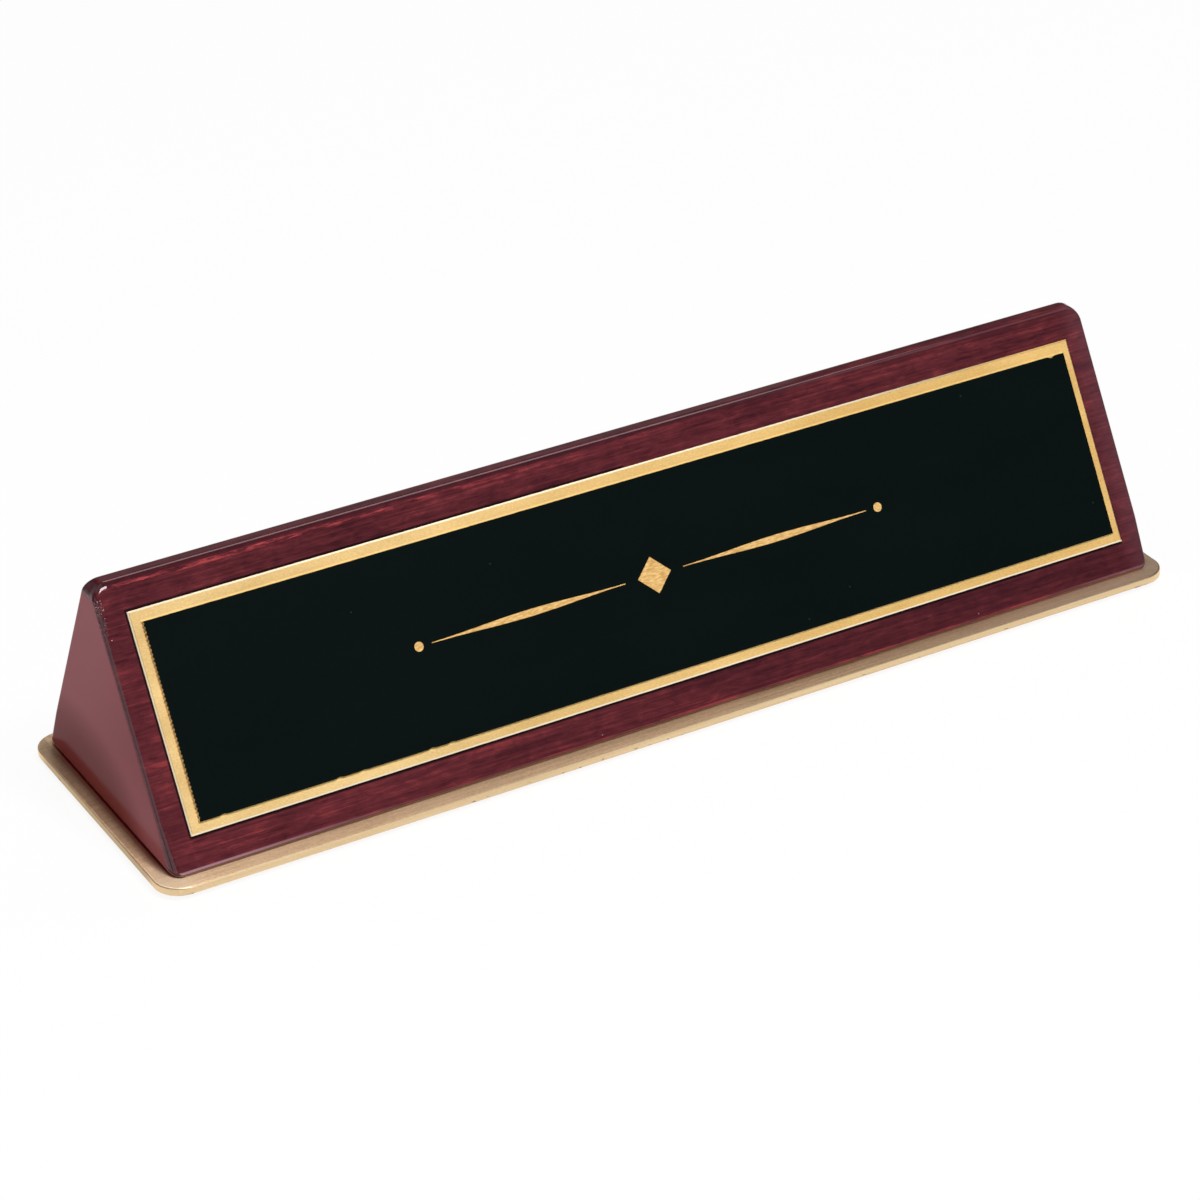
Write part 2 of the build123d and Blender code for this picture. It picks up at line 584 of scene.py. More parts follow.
        # Painted reflection: a mauve tone towards the rear, the top and the lower front, for the floor
        # mirrored in the ends
        rear_lean = at.y * math.sin(self.slope_angle) + at.z * math.cos(self.slope_angle)
        rear_reflection = (self.slope_level - rear_lean).fade(48.0, 2.0) * 0.26
        top_reflection = at.z.fade(foot + 20, foot + 55) * 0.12
        front_reflection = at.z.fade(foot + 26, foot + 8) * at.y.fade(-4.0, -26.0) * 0.14
        # Painted reflected shadow: a deep red cloud low down towards the rear
        off_middle = (at.y - 11.0) / 25
        above_foot = (at.z - foot) / 16
        reflected_shadow = (off_middle * off_middle + above_foot * above_foot).fade(2.0, 0.2)
        return graph.layers(graph.mix(cloud, srgb(124, 52, 57), srgb(134, 57, 63)), [
            Coat(0.04 + rear_reflection + top_reflection + front_reflection, 1.0, srgb(172, 110, 118)),
            Coat(reflected_shadow, 0.95, srgb(102, 29, 31)),
        ])

    def blisters(self, at: BlockSurvey) -> Wire:
        """Works out the blisters in the lacquer.

        Args:
            at: The survey of the block.

        Returns:
            A mask of small specks at the top of the left front crease.
        """
        crest = self.crest_height
        patch = at.z.band(crest - 11, crest - 8, crest - 2.4, crest - 1.2) * at.front
        patch = patch * at.x.fade(2.1 - self.half_length, 1.5 - self.half_length)
        return at.graph.specks(at.place, spacing=1.1, radius=0.6) * (1 - at.end) * patch

    def dulled(self, at: BlockSurvey) -> Wire:
        """Works out where the creases have lost their gloss.

        Args:
            at: The survey of the block.

        Returns:
            A mask of the right end's creases, the rear ones and the top of the left end's.
        """
        right_end = at.x.fade(self.half_length - 2.5, self.half_length - 1.5)
        left_top = at.x.fade(5.0 - self.half_length, 3.0 - self.half_length) * at.y.fade(-1.6, -0.6)
        return at.eased * right_end.at_least(at.y.fade(1.5, 2.0)).at_least(left_top * 0.7)

    def material(self) -> bpy.types.Material:
        """Returns the finish as a material."""
        graph = ShaderGraph("Lacquered rosewood")
        at = self.survey(graph)
        dust = graph.specks(at.place, spacing=8.0, radius=0.22)
        colour = graph.layers(self.long_faces(at), [Coat(dust, 0.5, srgb(170, 128, 130))])
        smear = graph.noise(at.place, (22, 12, 12), detail=3)
        swell = graph.noise(at.place, (16, 11, 11), detail=1)
        peel = graph.noise(at.place, (1.7, 1.7, 1.7), detail=1)
        relief = graph.bump(swell * 0.9 + peel * 0.06 + dust * 0.5 + self.blisters(at) * 14.0, 0.016)
        lacquered = graph.principled({
            "Base Color": colour,
            "Roughness": self.gloss + smear * 0.03 + dust * 0.3,
            "Normal": relief,
            "IOR": self.lacquer_index,
        })
        stained = graph.principled({
            "Base Color": graph.mix(at.end, colour, self.end_stain_and_reflection(at)),
            "Roughness": 0.12 + smear * 0.06,
            "Normal": relief,
            "IOR": self.stain_index,
        })
        return graph.close(graph.blend(at.end.at_least(self.dulled(at)), lacquered, stained))


@dataclass(frozen=True)
class BrushedGold:
    """Gold-coloured sheet metal, brushed along its length, with bright cut sides that are nicked low down.

    Its face is painted lighter towards the right, a painted sheen, with a painted highlight at the front left
    corner and a painted shadow at the rear of the left end. Beside the block's ends it is painted darker, a
    painted shade, with a red band right at the block, a painted reflection of the wood; its cut sides there
    are painted darker, a painted shade.
    end. It is tarnished beside the block's ends, where some of the red stain has run on to it.
    """

    bottom: float
    thickness: float
    block_half_length: float
    block_half_depth: float

    def material(self) -> bpy.types.Material:
        """Returns the finish as a material."""
        graph = ShaderGraph("Brushed gold")
        place = graph.place()
        x, y, z = graph.axes(place)
        strokes = graph.noise(place, (70, 0.16, 0.3), detail=3, roughness=0.6)
        scratches = graph.noise(place, (28, 0.45, 0.6), detail=2)
        stain = graph.noise(place, (30, 8, 8), detail=3)
        grain = graph.noise(place, (0.8, 0.35, 0.35), detail=3, roughness=0.7)
        tone = strokes * 0.35 + scratches * 0.2 + stain * 0.15 + grain * 0.3
        rolled = graph.ramp(tone, [(0.38, srgb(182, 150, 118)), (0.62, srgb(236, 206, 172))])
        # Painted sheen: lighter towards the right
        rolled = graph.layers(rolled, [Coat(x.fade(40.0, 125.0), 0.6, srgb(250, 220, 194))])
        cut = graph.ramp(tone, [(0.36, srgb(238, 205, 158)), (0.64, srgb(255, 233, 192))])
        top = self.bottom + self.thickness
        side = z.fade(top - 0.12, top - 0.3)
        left_face = x.fade(0.0, -1.0) * (1 - side)
        past_end = abs(x) - self.block_half_length
        past_front = abs(y) - self.block_half_depth
        corner = left_face * past_end.fade(-9.0, -1.0) * y.fade(-22.0, -34.0)
        rear_shadow = left_face * past_end.fade(0.0, 0.5) * y.fade(0.0, 26.0)
        end_side_shade = side * past_end.fade(1.5, 3.0) * past_front.fade(-1.0, -9.0)
        nicks = graph.noise(place, (2.2, 2.2, 0.7), detail=2).fade(0.66, 0.72)
        wear = nicks * z.fade(self.bottom + 0.45 * self.thickness, self.bottom + 0.1 * self.thickness)
        # Painted light: shade and a reflected red band beside the block's ends, a highlight at the front left
        # corner, a shadow at the rear of the left end and shade on the cut sides there. The nicks are wear.
        colour = graph.layers(graph.mix(side, rolled, cut), [
            Coat(past_end.fade(2.2, 0.8) * past_front.fade(-1.0, -7.0), 0.45, srgb(100, 88, 66)),
            Coat(past_end.fade(0.9, 0.4) * past_front.fade(-4.0, -9.0), 0.6, srgb(150, 50, 56)),
            Coat(corner, 0.35, srgb(255, 236, 206)),
            Coat(rear_shadow, 0.35, srgb(104, 84, 74)),
            Coat(end_side_shade, 0.5, srgb(132, 106, 78)),
            Coat(wear, 0.8, srgb(70, 50, 34)),
        ])
        return graph.finish({
            "Base Color": colour,
            "Metallic": 1.0,
            "Roughness": 0.48 + strokes * 0.14 + wear * 0.3,
            "Anisotropic": 0.85,
            "Normal": graph.bump(strokes * 0.6 + scratches * 0.4 - wear, 0.012),
        })


@dataclass(frozen=True)
class SatinBrass:
    """Brass sheet with a fine satin grain, paler towards the left, a painted sheen.

    Its filed edges are polished and painted lighter, partly a painted highlight that fades out along the
    right of the upper edge. Strips of brass along the lower and upper edges of the plate on it are painted
    bright, painted light that lifts the plate's shadow.
    """

    half_length: float
    upward: Vector
    low_rise: float
    high_rise: float
    name_half_length: float
    name_low_rise: float
    name_high_rise: float

    def material(self) -> bpy.types.Material:
        """Returns the finish as a material."""
        graph = ShaderGraph("Satin brass")
        place = graph.place()
        grain = graph.noise(place, (0.5, 0.2, 0.2), detail=2)
        cloud = graph.noise(place, (26, 9, 9), detail=2)
        tone = grain * 0.5 + cloud * 0.5
        x = graph.axes(place)[0]
        rise = graph.along(place, self.upward)
        # Painted sheen: paler towards the left
        rich = graph.ramp(tone, [(0.36, srgb(221, 184, 110)), (0.64, srgb(245, 213, 144))])
        pale = graph.ramp(tone, [(0.36, srgb(221, 190, 128)), (0.64, srgb(245, 219, 162))])
        satin = graph.mix(x.fade(80.0, -120.0), rich, pale)
        # Filed edges: polished, and painted lighter, partly a painted highlight; the upper one fades out to
        # the right
        top_edge = (self.high_rise - rise).fade(0.46, 0.38) * x.fade(115.0, 60.0)
        left_edge = (self.half_length + x).fade(0.32, 0.24)
        foot_edge = (rise - self.low_rise).fade(0.46, 0.38)
        right_edge = (self.half_length - x).fade(0.46, 0.38)
        bright_edge = top_edge.at_least(left_edge).at_least(foot_edge)
        edge = bright_edge.at_least(right_edge)
        # Painted light that lifts the shadow of the plate along its lower and upper edges
        lower_shadow_lift = (self.name_low_rise - rise).band(-0.1, 0.0, 0.3, 0.6)
        upper_shadow_lift = (rise - self.name_high_rise).band(-0.1, 0.0, 0.25, 0.5) * 0.6
        shadow_lift = lower_shadow_lift.at_least(upper_shadow_lift) * (self.name_half_length - abs(x)).fade(-0.1, 0.0)
        colour = graph.layers(satin, [
            Coat(shadow_lift, 1.0, srgb(255, 232, 164)),
            Coat(right_edge, 1.0, srgb(250, 220, 162)),
            Coat(bright_edge, 1.0, srgb(255, 240, 206)),
        ])
        return graph.finish({
            "Base Color": colour,
            "Metallic": 1.0,
            "Roughness": 0.67 + grain * 0.1 - edge * 0.37,
            "Coat Weight": 0.5 - edge * 0.5,
            "Coat Roughness": 0.45,
            "Normal": graph.bump(grain, 0.002),
        })


@dataclass(frozen=True)
class BlackCoat:
    """A satin black coat on brass: what is cut deeper than the coat shows the metal."""

    outward: Vector
    coat_level: float
    coat_index: float = 1.32

    def material(self) -> bpy.types.Material:
        """Returns the finish as a material."""
        graph = ShaderGraph("Black coated brass")
        place = graph.place()
        level = graph.along(place, self.outward)
        coated = level.fade(self.coat_level - 0.012, self.coat_level)
        cloud = graph.noise(place, (40, 14, 14), detail=3)
        black = graph.mix(cloud, srgb(4, 12, 11), srgb(7, 17, 16))
        dust = graph.specks(place, spacing=7.0, radius=0.2)
        black = graph.mix(dust * 0.6, black, srgb(60, 66, 64))
        grain = graph.noise(place, (1.4, 0.3, 0.3), detail=2)
        brass = graph.ramp(grain, [(0.35, srgb(214, 172, 106)), (0.65, srgb(246, 214, 150))])
        peel = graph.noise(place, (0.9, 0.9, 0.9), detail=2)
        cut_side = level.fade(self.coat_level - 0.13, self.coat_level - 0.2)
        splash = graph.noise(place, (0.7, 0.7, 0.7), detail=1).fade(0.5, 0.56)
        bare = (1 - coated) * (1 - splash * cut_side)
        return graph.finish({
            "Base Color": graph.mix(bare, black, brass),
            "Metallic": bare,
            "Roughness": 0.16 + peel * 0.06 + bare * 0.5,
            "Normal": graph.bump(peel * 0.3 + grain * bare * 0.3 + dust * 0.5, 0.004),
            "IOR": self.coat_index,
        })


@dataclass(frozen=True)
class AdhesiveFilm:
    """Milky double-sided film."""

    def material(self) -> bpy.types.Material:
        """Returns the finish as a material."""
        graph = ShaderGraph("Adhesive film")
        place = graph.place()
        cloud = graph.noise(place, (5, 5, 5), detail=3)
        dust = graph.noise(place, (0.6, 0.6, 0.6), detail=2)
        return graph.finish({
            "Base Color": graph.mix(cloud, srgb(196, 190, 174), srgb(214, 209, 196)),
            "Roughness": 0.5 + dust * 0.2,
            "Normal": graph.bump(dust, 0.01),
        })


@dataclass(frozen=True)
class ZincSteel:
    """Yellow zinc plating on steel."""

    def material(self) -> bpy.types.Material:
        """Returns the finish as a material."""
        graph = ShaderGraph("Zinc plated steel")
        place = graph.place()
        cloud = graph.noise(place, (1.4, 1.4, 1.4), detail=3)
        grain = graph.noise(place, (0.15, 0.15, 0.15), detail=2)
        stops = [(0.35, srgb(198, 184, 142)), (0.5, srgb(212, 204, 176)), (0.65, srgb(204, 186, 160))]
        return graph.finish({
            "Base Color": graph.ramp(cloud, stops),
            "Metallic": 1.0,
            "Roughness": 0.28 + grain * 0.15,
            "Normal": graph.bump(grain, 0.006),
        })


@dataclass(frozen=True)
class PressedFelt:
    """Dark pressed felt with matted fibres."""

    def material(self) -> bpy.types.Material:
        """Returns the finish as a material."""
        graph = ShaderGraph("Pressed felt")
        place = graph.place()
        clumps = graph.noise(place, (0.8, 0.8, 0.8), detail=3, distortion=1.5)
        fibres = graph.noise(place, (0.12, 0.12, 0.3), detail=3, distortion=2.0)
        tone = clumps * 0.5 + fibres * 0.5
        return graph.finish({
            "Base Color": graph.ramp(tone, [(0.36, srgb(24, 20, 18)), (0.64, srgb(58, 51, 46))]),
            "Roughness": 0.9,
            "Normal": graph.bump(tone, 0.12),
            "Sheen Weight": 0.3,
        })


@dataclass(frozen=True)
class StudioPaper:
    """Pale seamless paper for the floor, part of whose white glows where it is seen or mirrored."""

    glow: float = 0.9

    def material(self) -> bpy.types.Material:
        """Returns the finish as a material."""
        graph = ShaderGraph("Studio paper")
        cloud = graph.noise(graph.place(), (160, 160, 160), detail=3)
        white = graph.mix(cloud, srgb(246, 246, 245), srgb(250, 250, 249))
        paper = graph.node("ShaderNodeBsdfDiffuse", sockets={"Color": white})
        light = graph.node("ShaderNodeEmission", sockets={"Color": (1.0, 1.0, 1.0, 1.0), "Strength": 1.0})
        seen = graph.node("ShaderNodeLightPath", output="Is Camera Ray")
        shown = (seen + seen.beside("Is Glossy Ray") + seen.beside("Is Transmission Ray")).at_most(1.0)
        return graph.close(graph.blend(shown * self.glow, paper, light))


# Meshes


class Shell:
    """Collects the faces of a closed mesh, with the exact surface normal at each of their corners."""

    # Places in the same cell, in metres, are one vertex, and a flat joins places this close, in millimetres
    CELL = 1e-7
    FLAT_REACH = 1e-6

    def __init__(self) -> None:
        """Starts with no faces."""
        self.places: list[Vector] = []
        self.numbers: dict[tuple[int, int, int], int] = {}
        self.faces: list[list[int]] = []
        self.normals: list[Vector] = []

    def vertex(self, place: Vector) -> int:
        """Returns the number of the vertex at a place, and adds it if it is new."""
        key = tuple(round(value / self.CELL) for value in place)
        if key not in self.numbers:
            self.numbers[key] = len(self.places)
            self.places.append(place)
        return self.numbers[key]

    def face(self, corners: Sequence[Corner]) -> None:
        """Adds a face, turned so that it looks the way its normals point.

        Args:
            corners: The place and the normal of each corner, in order round the face.
        """
        kept = []
        for place, normal in corners:
            number = self.vertex(place)
            if number not in [other for other, _ in kept]:
                kept.append((number, normal))
        if len(kept) < 3:
            return
        turn = Vector()
        start = self.places[kept[0][0]]
        for (first, _), (second, _) in zip(kept[1:], kept[2:]):
            turn += (self.places[first] - start).cross(self.places[second] - start)
        if turn.dot(sum((normal for _, normal in kept), Vector())) < 0:
            kept.reverse()
        self.faces.append([number for number, _ in kept])
        self.normals.extend(normal for _, normal in kept)

    def bridge(self, rows: Sequence[Sequence[Corner]], closed: bool = True) -> None:
        """Adds the faces between each row of corners and the next row.

        Args:
            rows: The rows, all of the same length.
            closed: Whether the last corner of a row is joined to its first one.
        """
        for lower, upper in zip(rows, rows[1:]):
            for here in range(len(lower) if closed else len(lower) - 1):
                there = (here + 1) % len(lower)
                self.face([lower[here], lower[there], upper[there], upper[here]])

    def cap(self, rims: Sequence[Sequence[Vector]], normal: Vector) -> None:
        """Closes a flat opening.

        Args:
            rims: The outer rim, and then the rims of the holes that are left in it.
            normal: The way that the flat looks.
        """
        if len(rims) == 1:
            self.face([(place, normal) for place in rims[0]])
            return
        across = normal.orthogonal().normalized()
        upward = normal.cross(across)
        places = []
        edges = []
        for rim in rims:
            first = len(places)
            places.extend(rim)
            count = len(rim)
            edges.extend((first + here, first + (here + 1) % count) for here in range(count))
        flat = [Vector((place.dot(across), place.dot(upward))) / MM for place in places]
        outer_face = [list(range(len(rims[0])))]
        inside_with_holes = 2
        result = delaunay_2d_cdt(flat, edges, outer_face, inside_with_holes, self.FLAT_REACH)
        _, _, triangles, origins, _, _ = result
        for triangle in triangles:
            self.face([(places[origins[number][0]], normal) for number in triangle])

    def bore(
        self, centre: Vector, outline: Sequence[tuple[float, float]], steps: int
    ) -> tuple[list[Vector], list[Vector]]:
        """Adds the wall of a turned hole.

        Args:
            centre: The point on the upright axis that heights are measured from.
            outline: The radius and height of each bend of the wall, upwards.
            steps: The number of corners round the hole.

        Returns:
            The lower and the upper rim of the hole.
        """
        rims = []
        for (low_radius, low), (high_radius, high) in zip(outline, outline[1:]):
            lean = Vector((high - low, low_radius - high_radius)).normalized()
            rings = []
            for radius, height in ((low_radius, low), (high_radius, high)):
                ring = []
                for step in range(steps):
                    angle = math.tau * step / steps
                    spoke = Vector((math.cos(angle), math.sin(angle), 0))
                    normal = -(spoke * lean.x + UP * lean.y)
                    ring.append((centre + spoke * radius + UP * height, normal))
                rings.append(ring)
                rims.append(places_of(ring))
            self.bridge(rings)
        return rims[0], rims[-1]

    def build(self, name: str) -> bpy.types.Object:
        """Makes the mesh object.

        Args:
            name: The piece's name.

        Returns:
            The object, at the origin, with smooth faces and the exact normals.
        """
        mesh = bpy.data.meshes.new(name)
        mesh.from_pydata(self.places, [], self.faces)
        mesh.polygons.foreach_set("use_smooth", [True] * len(mesh.polygons))
        mesh.normals_split_custom_set(self.normals)
        piece = bpy.data.objects.new(name, mesh)
        bpy.context.scene.collection.objects.link(piece)
        return piece


def turn_between(start: Vector, end: Vector, steps: int) -> list[Vector]:
    """Turns a direction into another one.

    Args:
        start: The first unit direction.
        end: The last unit direction.
        steps: How many equal turns to make.

    Returns:
        The directions, with both ends.
    """
    angle = start.angle(end)
    turned = []
    for step in range(steps + 1):
        share = step / steps
        first = math.sin((1 - share) * angle) / math.sin(angle)
        second = math.sin(share * angle) / math.sin(angle)
        turned.append(start * first + end * second)
    return turned


def places_of(corners: Sequence[Corner]) -> list[Vector]:
    """Returns the places of some corners, without their normals."""
    return [place for place, _ in corners]


def enrol(piece: bpy.types.Object, slot: Slot, finish: bpy.types.Material, *nodes: str) -> None:
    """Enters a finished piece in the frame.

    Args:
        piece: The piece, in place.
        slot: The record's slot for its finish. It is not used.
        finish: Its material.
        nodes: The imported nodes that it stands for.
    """
    piece.data.materials.clear()
    piece.data.materials.append(finish)
    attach(piece, BODY)
    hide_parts(*nodes)
    LOG.info("%s: %d faces, stands for %s", piece.name, len(piece.data.polygons), ", ".join(nodes))


# Sub-assemblies


@dataclass(frozen=True)
class Screw:
    """One of the countersunk screws that hold the base plate, and the room that its holes leave it."""

    length: float = 16 * MM
    shank_radius: float = 1.45 * MM
    head_radius: float = 2.75 * MM
    head_height: float = 1.3 * MM
    tip_length: float = 3 * MM
    tip_radius: float = 0.3 * MM
    clearance: float = 0.15 * MM
    end_distance: float = 45 * MM
    hole_steps: int = 40

    def places(self, block_length: float, bottom: float) -> list[Vector]:
        """Returns where the heads sit, for the length of the block and the height of the base's underside."""
        reach = block_length / 2 - self.end_distance
        return [Vector((-reach, 0, bottom)), Vector((reach, 0, bottom))]


@dataclass(frozen=True)
class Slope:
    """The block's front face, as a plane that plates are laid out on."""

    foot: Vector
    angle: float

    @property
    def upward(self) -> Vector:
        """The direction up the slope."""
        return Vector((0, math.cos(self.angle), math.sin(self.angle)))

    @property
    def outward(self) -> Vector:
        """The direction out of the slope."""
        return Vector((0, -math.sin(self.angle), math.cos(self.angle)))

    def point(self, along: float, rise: float, level: float) -> Vector:
        """Returns the point at these distances along the block, up the slope and out from the wood."""
        return self.foot + Vector((along, 0, 0)) + self.upward * rise + self.outward * level


@dataclass
class WoodBlock:
    """The wooden wedge, with its rounded top corners and eased creases."""

    length: float
    bottom: float
    top: float
    screw: Screw
    depth: float = 70.6 * MM
    ridge_width: float = 4.4 * MM
    ridge_radius: float = 2.7 * MM
    left_corner_radius: float = 3.9 * MM
    right_corner_radius: float = 4.0 * MM
    crease_radius: float = 1.4 * MM
    front_crease_foot_radius: float = 2.6 * MM
    rear_crease_foot_radius: float = 2.0 * MM
    foot_crease_height: float = 11 * MM
    front_foot_radius: float = 1.0 * MM
    end_foot_radius: float = 1.9 * MM
    crease_steps: int = 14
    corner_steps: int = 20
    foot_steps: int = 8

    @classmethod
    def from_frame(cls, screw: Screw) -> "WoodBlock":
        """Takes the block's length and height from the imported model.

        Args:
            screw: The screws that go into the block.

        Returns:
            The block.
        """
        low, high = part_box("wedge_block")
        return cls(length=high.x - low.x, bottom=low.z, top=high.z, screw=screw)

    @property
    def slope(self) -> Slope:
        """The plane of the front face, before its edges are eased."""
        run = (self.depth - self.ridge_width) / 2
        foot = Vector((0, -self.depth / 2, self.bottom))
        return Slope(foot, math.atan2(self.top - self.bottom, run))

    def foot_radius(self, normal: Vector) -> float:
        """Returns the radius of the foot's rounding under a side that looks that way."""
        return self.front_foot_radius + (self.end_foot_radius - self.front_foot_radius) * normal.x ** 2

    def crease_row(self, radius: float, x: float, z: float | None, away: Vector) -> list[Corner]:
        """Works out one row across the crease between the front and the face beside it.

        Args:
            radius: The radius of the ball that is rolled along the crease.
            x: Where the middle of the ball is along the block.
            z: How high it is, or None for the row where the crease meets the rounding of the foot.
            away: The way that the face beside the front looks.

        Returns:
            The row, from the front to that face.
        """
        slope = self.slope
        row = []
        for normal in turn_between(slope.outward, away, self.crease_steps):
            height = z
            if height is None:
                foot_radius = self.foot_radius(normal)
                height = self.bottom + foot_radius - (radius - foot_radius) * normal.z
            inset = (math.cos(slope.angle) * (height - self.bottom) + radius) / math.sin(slope.angle)
            middle = Vector((x, inset - self.depth / 2, height))
            row.append((middle + normal * radius, normal))
        return row

    def front_crease(self, foot_crease_radius: float) -> list[list[Corner]]:
        """Goes along the front crease: up the right end, over the ridge and down the left end.

        The rounding changes round each top corner, from that of the ends to that of the ridge, and towards
        the foot.

        Args:
            foot_crease_radius: The radius that the rounding of the ends has at the foot.

        Returns:
            The rows across it.
        """
        side = self.length / 2
        right = Vector((1, 0, 0))
        knee_height = self.bottom + self.foot_crease_height
        rows = [
            self.crease_row(foot_crease_radius, side - foot_crease_radius, None, right),
            self.crease_row(self.crease_radius, side - self.crease_radius, knee_height, right),
        ]
        for knee, middle, start in (
            (self.right_corner_radius, side - self.right_corner_radius, 0),
            (self.left_corner_radius, self.left_corner_radius - side, 90),
        ):
            for step in range(self.corner_steps + 1):
                angle = math.radians(start + 90 * step / self.corner_steps)
                away = Vector((math.cos(angle), 0, math.sin(angle)))
                radius = self.crease_radius + (self.ridge_radius - self.crease_radius) * away.z ** 2
                bend = knee - radius
                x = middle + away.x * bend
                rows.append(self.crease_row(radius, x, self.top - knee + away.z * bend, away))
        rows.append(self.crease_row(self.crease_radius, self.crease_radius - side, knee_height, -right))
        rows.append(self.crease_row(foot_crease_radius, foot_crease_radius - side, None, -right))
        return rows

    def build(self) -> bpy.types.Object:
        """Makes the block, as if a ball had been rolled along each of its creases.

        Returns:
            The piece, without its finish.
        """
        shell = Shell()
        outward = self.slope.outward
        to_rear = Matrix.Diagonal((1, -1, 1))
        front = self.front_crease(self.front_crease_foot_radius)
        rear = self.front_crease(self.rear_crease_foot_radius)
        rear = [[(to_rear @ place, to_rear @ normal) for place, normal in row] for row in rear]
        shell.bridge(front, closed=False)
        shell.bridge(rear, closed=False)
        shell.cap([[row[0][0] for row in front]], outward)
        shell.cap([[row[0][0] for row in rear]], to_rear @ outward)
        shell.bridge([[row[-1] for row in front], [row[-1] for row in rear]], closed=False)
        self.add_foot(shell, [*front[0], *rear[0][::-1], *rear[-1], *front[-1][::-1]])
        return shell.build("wood_block")

    def add_foot(self, shell: Shell, rim: Sequence[Corner]) -> None:
        """Adds the rounding of the foot and the underside with its screw holes.

        Args:
            shell: The mesh that they are added to.
            rim: The corners where the sides meet the rounding, once round the foot.
        """
        rows = []
        for place, normal in rim:
            radius = self.foot_radius(normal)
            middle = place - normal * radius
            turned = turn_between(normal, DOWN, self.foot_steps)
            rows.append([(middle + step * radius, step) for step in turned])
        rings = [[row[step] for row in rows] for step in range(self.foot_steps + 1)]
        shell.bridge(rings)
        rims = [places_of(rings[-1])]
        screw = self.screw
        shank = screw.shank_radius + screw.clearance
        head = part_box("base_screws")[0].z
        end = screw.length + screw.clearance
        outline = [
            (shank, self.bottom - head),
            (shank, end - screw.tip_length),
            (screw.tip_radius + screw.clearance, end),
        ]
        for centre in screw.places(self.length, head):
            mouth, blind_end = shell.bore(centre, outline, screw.hole_steps)
            shell.cap([blind_end], DOWN)
            rims.append(mouth)
        shell.cap(rims, DOWN)

    def dress(self, piece: bpy.types.Object) -> None:
        """Gives the block its lacquer and enters it in the frame."""
        slope = self.slope
        plate_low, plate_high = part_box("border_plate")
        finish = LacqueredRosewood(
            half_length=self.length / 2 / MM,
            slope_angle=slope.angle,
            slope_level=slope.foot.dot(slope.outward) / MM,
            ridge_height=self.top / MM,
            foot_height=self.bottom / MM,
            toe_height=(self.bottom + self.front_foot_radius * (1 + math.cos(slope.angle))) / MM,
            crest_height=(self.top - self.ridge_radius * (1 - math.cos(slope.angle))) / MM,
            plate_half_length=plate_high.x / MM,
            plate_low=plate_low.z / MM,
            plate_high=plate_high.z / MM,
        )
        enrol(piece, Slot.WOOD, finish.material(), "wedge_block")


@dataclass
class BasePlate:
    """The gold metal plate under the block, with its countersunk holes."""

    length: float
    depth: float
    bottom: float
    top: float
    screw: Screw
    block: WoodBlock
    corner_radius: float = 6.4 * MM
    edge_radius: float = 0.4 * MM
    corner_steps: int = 24
    edge_steps: int = 8
    texture_stretch: float = 1e4

    @classmethod
    def from_frame(cls, screw: Screw, block: WoodBlock) -> "BasePlate":
        """Takes the plate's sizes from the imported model.

        Args:
            screw: The screws that go through it.
            block: The block that they hold.

        Returns:
            The plate.
        """
        low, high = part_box("base_plate")
        return cls(high.x - low.x, high.y - low.y, low.z, high.z, screw, block)

    def outline(self) -> list[tuple[Vector, Vector]]:
        """Goes once round the plate as seen from above, an edge radius inside its sides.

        Returns:
            The place on the floor and the outward direction of each point.
        """
        points = []
        bend = self.corner_radius - self.edge_radius
        for quarter, (side_x, side_y) in enumerate(((1, 1), (-1, 1), (-1, -1), (1, -1))):
            x = side_x * (self.length / 2 - self.corner_radius)
            y = side_y * (self.depth / 2 - self.corner_radius)
            for step in range(self.corner_steps + 1):
                angle = math.radians(90 * (quarter + step / self.corner_steps))
                away = Vector((math.cos(angle), math.sin(angle), 0))
                points.append((Vector((x, y, 0)) + away * bend, away))
        return points

    def build(self) -> bpy.types.Object:
        """Makes the plate with rounded rims and its two holes.

        Returns:
            The piece, without its finish.
        """
        shell = Shell()
        low = self.bottom + self.edge_radius
        high = self.top - self.edge_radius
        rows = []
        for place, away in self.outline():
            row = []
            for height, normals in (
                (low, turn_between(DOWN, away, self.edge_steps)),
                (high, turn_between(away, UP, self.edge_steps)),
            ):
                core = place + UP * height
                row.extend((core + normal * self.edge_radius, normal) for normal in normals)
            rows.append(row)
        rings = [[row[step] for row in rows] for step in range(len(rows[0]))]
        shell.bridge(rings)
        under = [places_of(rings[0])]
        over = [places_of(rings[-1])]
        screw = self.screw
        shank = screw.shank_radius + screw.clearance
        outline = [
            (screw.head_radius + screw.clearance, 0),
            (shank, screw.head_height),
            (shank, self.top - self.bottom),
        ]
        for centre in screw.places(self.block.length, self.bottom):
            lower, upper = shell.bore(centre, outline, screw.hole_steps)
            under.append(lower)
            over.append(upper)
        shell.cap(under, DOWN)
        shell.cap(over, UP)
        return shell.build("base_sheet")

    def dress(self, piece: bpy.types.Object) -> None:
        """Gives the plate its brushed metal and enters it in the frame.

        The brushed gloss spreads along the mesh's tangents, which circle the middle of its texture space. A
        texture space that is very deep makes them all lie along Y, across brush strokes that run along X.

        Args:
            piece: The plate.
        """
        piece.data.use_auto_texspace = False
        piece.data.texspace_location = (0, 0, 0)
        piece.data.texspace_size = (self.length, self.length * self.texture_stretch, self.length)
        finish = BrushedGold(
            bottom=self.bottom / MM,
            thickness=(self.top - self.bottom) / MM,
            block_half_length=self.block.length / 2 / MM,
            block_half_depth=self.block.depth / 2 / MM,
        )
        enrol(piece, Slot.BASE, finish.material(), "base_plate")


